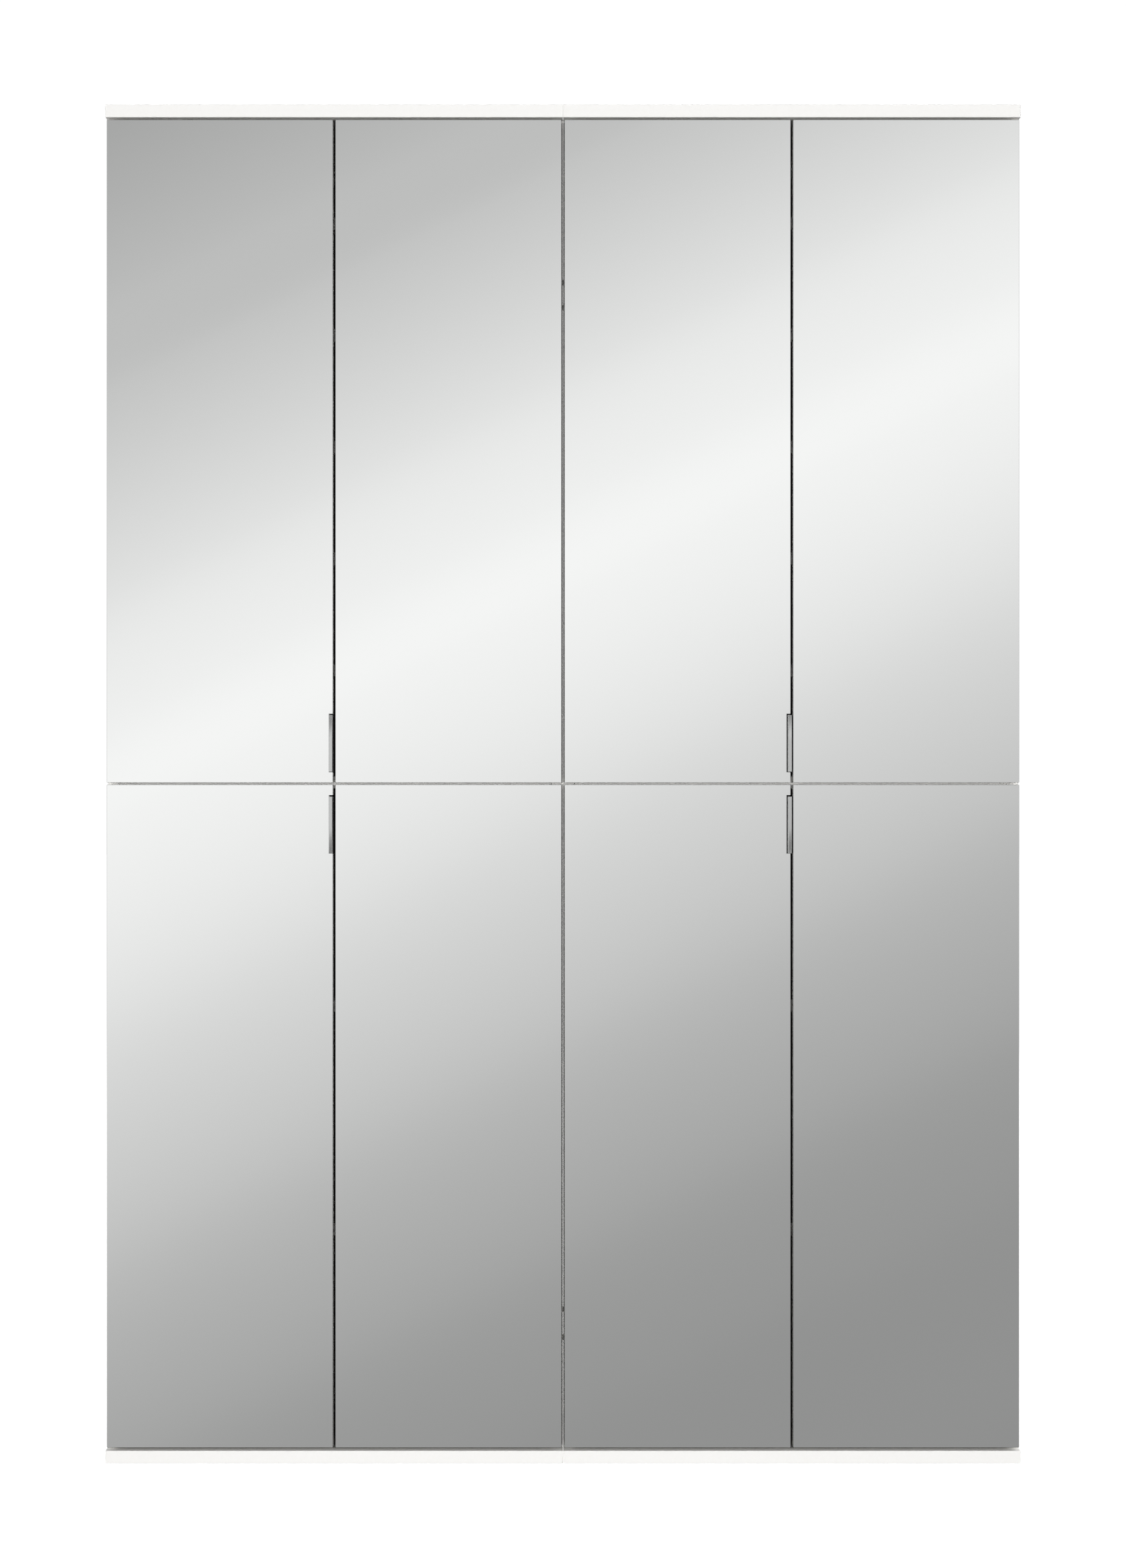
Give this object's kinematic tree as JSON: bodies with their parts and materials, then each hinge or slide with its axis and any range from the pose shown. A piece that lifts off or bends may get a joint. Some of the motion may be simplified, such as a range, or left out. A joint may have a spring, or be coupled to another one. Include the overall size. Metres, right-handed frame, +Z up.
{
  "type": "armoire",
  "caption": "Tall armoire of joined carcasses with full-size mirror doors on concealed hinges, slim metal blade handles, and fixed and loose shelves behind.",
  "frame": {"origin": "on the floor, under the middle of the armoire's box, handles included", "axes": "+Z up, -Y towards the user in front of the mirror doors, +X to that user's right"},
  "size_m": [1.3, 0.367, 1.93],
  "materials": {
    "white_melamine": "satin white melamine-faced board",
    "hardboard": "white lacquer on the inside, raw brown fibre behind",
    "silvered_mirror": "polished silvered float glass",
    "satin_aluminium": "brushed and anodised",
    "nickel_plated_steel": "pressed and nickel plated",
    "zinc_plated_steel": "zinc plated"
  },
  "bodies": {
    "carcass": {"left_base_board": "white_melamine", "left_top_board": "white_melamine", "left_outer_side": "white_melamine", "left_inner_side": "white_melamine", "left_back_panel": "hardboard", "left_middle_shelf": "white_melamine", "left_shelf_1": "white_melamine", "left_shelf_2": "white_melamine", "left_shelf_3": "white_melamine", "left_shelf_4": "white_melamine", "left_shelf_5": "white_melamine", "left_shelf_6": "white_melamine", "left_shelf_7": "white_melamine", "left_wall_bracket": "zinc_plated_steel", "right_base_board": "white_melamine", "right_top_board": "white_melamine", "right_outer_side": "white_melamine", "right_inner_side": "white_melamine", "right_back_panel": "hardboard", "right_middle_shelf": "white_melamine", "right_shelf_1": "white_melamine", "right_shelf_2": "white_melamine", "right_shelf_3": "white_melamine", "right_shelf_4": "white_melamine", "right_shelf_5": "white_melamine", "right_shelf_6": "white_melamine", "right_shelf_7": "white_melamine", "right_wall_bracket": "zinc_plated_steel", "door_1_upper_hinge_arm": "nickel_plated_steel", "door_1_lower_hinge_arm": "nickel_plated_steel", "door_2_upper_hinge_arm": "nickel_plated_steel", "door_2_lower_hinge_arm": "nickel_plated_steel", "door_3_upper_hinge_arm": "nickel_plated_steel", "door_3_lower_hinge_arm": "nickel_plated_steel", "door_4_upper_hinge_arm": "nickel_plated_steel", "door_4_lower_hinge_arm": "nickel_plated_steel", "unit_connector_1": "zinc_plated_steel", "unit_connector_2": "zinc_plated_steel", "unit_connector_3": "zinc_plated_steel", "unit_connector_4": "zinc_plated_steel"},
    "door_1_upper": {"door_1_upper_handle": "satin_aluminium", "door_1_upper_panel": "white_melamine", "door_1_upper_mirror": "silvered_mirror"},
    "door_1_lower": {"door_1_lower_handle": "satin_aluminium", "door_1_lower_panel": "white_melamine", "door_1_lower_mirror": "silvered_mirror"},
    "door_2_upper": {"door_2_upper_panel": "white_melamine", "door_2_upper_mirror": "silvered_mirror"},
    "door_2_lower": {"door_2_lower_panel": "white_melamine", "door_2_lower_mirror": "silvered_mirror"},
    "door_3_upper": {"door_3_upper_handle": "satin_aluminium", "door_3_upper_panel": "white_melamine", "door_3_upper_mirror": "silvered_mirror"},
    "door_3_lower": {"door_3_lower_handle": "satin_aluminium", "door_3_lower_panel": "white_melamine", "door_3_lower_mirror": "silvered_mirror"},
    "door_4_upper": {"door_4_upper_panel": "white_melamine", "door_4_upper_mirror": "silvered_mirror"},
    "door_4_lower": {"door_4_lower_panel": "white_melamine", "door_4_lower_mirror": "silvered_mirror"}
  },
  "joints": [
    {"name": "door_1_upper_hinge", "type": "hinge", "parent": "carcass", "child": "door_1_upper", "pos_m": [-0.648, -0.1635, 1.438], "axis": [0, 0, -1], "range_deg": [0, 105]},
    {"name": "door_1_lower_hinge", "type": "hinge", "parent": "carcass", "child": "door_1_lower", "pos_m": [-0.648, -0.1635, 0.493], "axis": [0, 0, -1], "range_deg": [0, 105]},
    {"name": "door_2_upper_hinge", "type": "hinge", "parent": "carcass", "child": "door_2_upper", "pos_m": [-0.0022, -0.1635, 1.438], "axis": [0, 0, 1], "range_deg": [0, 87]},
    {"name": "door_2_lower_hinge", "type": "hinge", "parent": "carcass", "child": "door_2_lower", "pos_m": [-0.0022, -0.1635, 0.493], "axis": [0, 0, 1], "range_deg": [0, 87]},
    {"name": "door_3_upper_hinge", "type": "hinge", "parent": "carcass", "child": "door_3_upper", "pos_m": [0.0022, -0.1635, 1.438], "axis": [0, 0, -1], "range_deg": [0, 87]},
    {"name": "door_3_lower_hinge", "type": "hinge", "parent": "carcass", "child": "door_3_lower", "pos_m": [0.0022, -0.1635, 0.493], "axis": [0, 0, -1], "range_deg": [0, 87]},
    {"name": "door_4_upper_hinge", "type": "hinge", "parent": "carcass", "child": "door_4_upper", "pos_m": [0.648, -0.1635, 1.438], "axis": [0, 0, 1], "range_deg": [0, 105]},
    {"name": "door_4_lower_hinge", "type": "hinge", "parent": "carcass", "child": "door_4_lower", "pos_m": [0.648, -0.1635, 0.493], "axis": [0, 0, 1], "range_deg": [0, 105]}
  ]
}
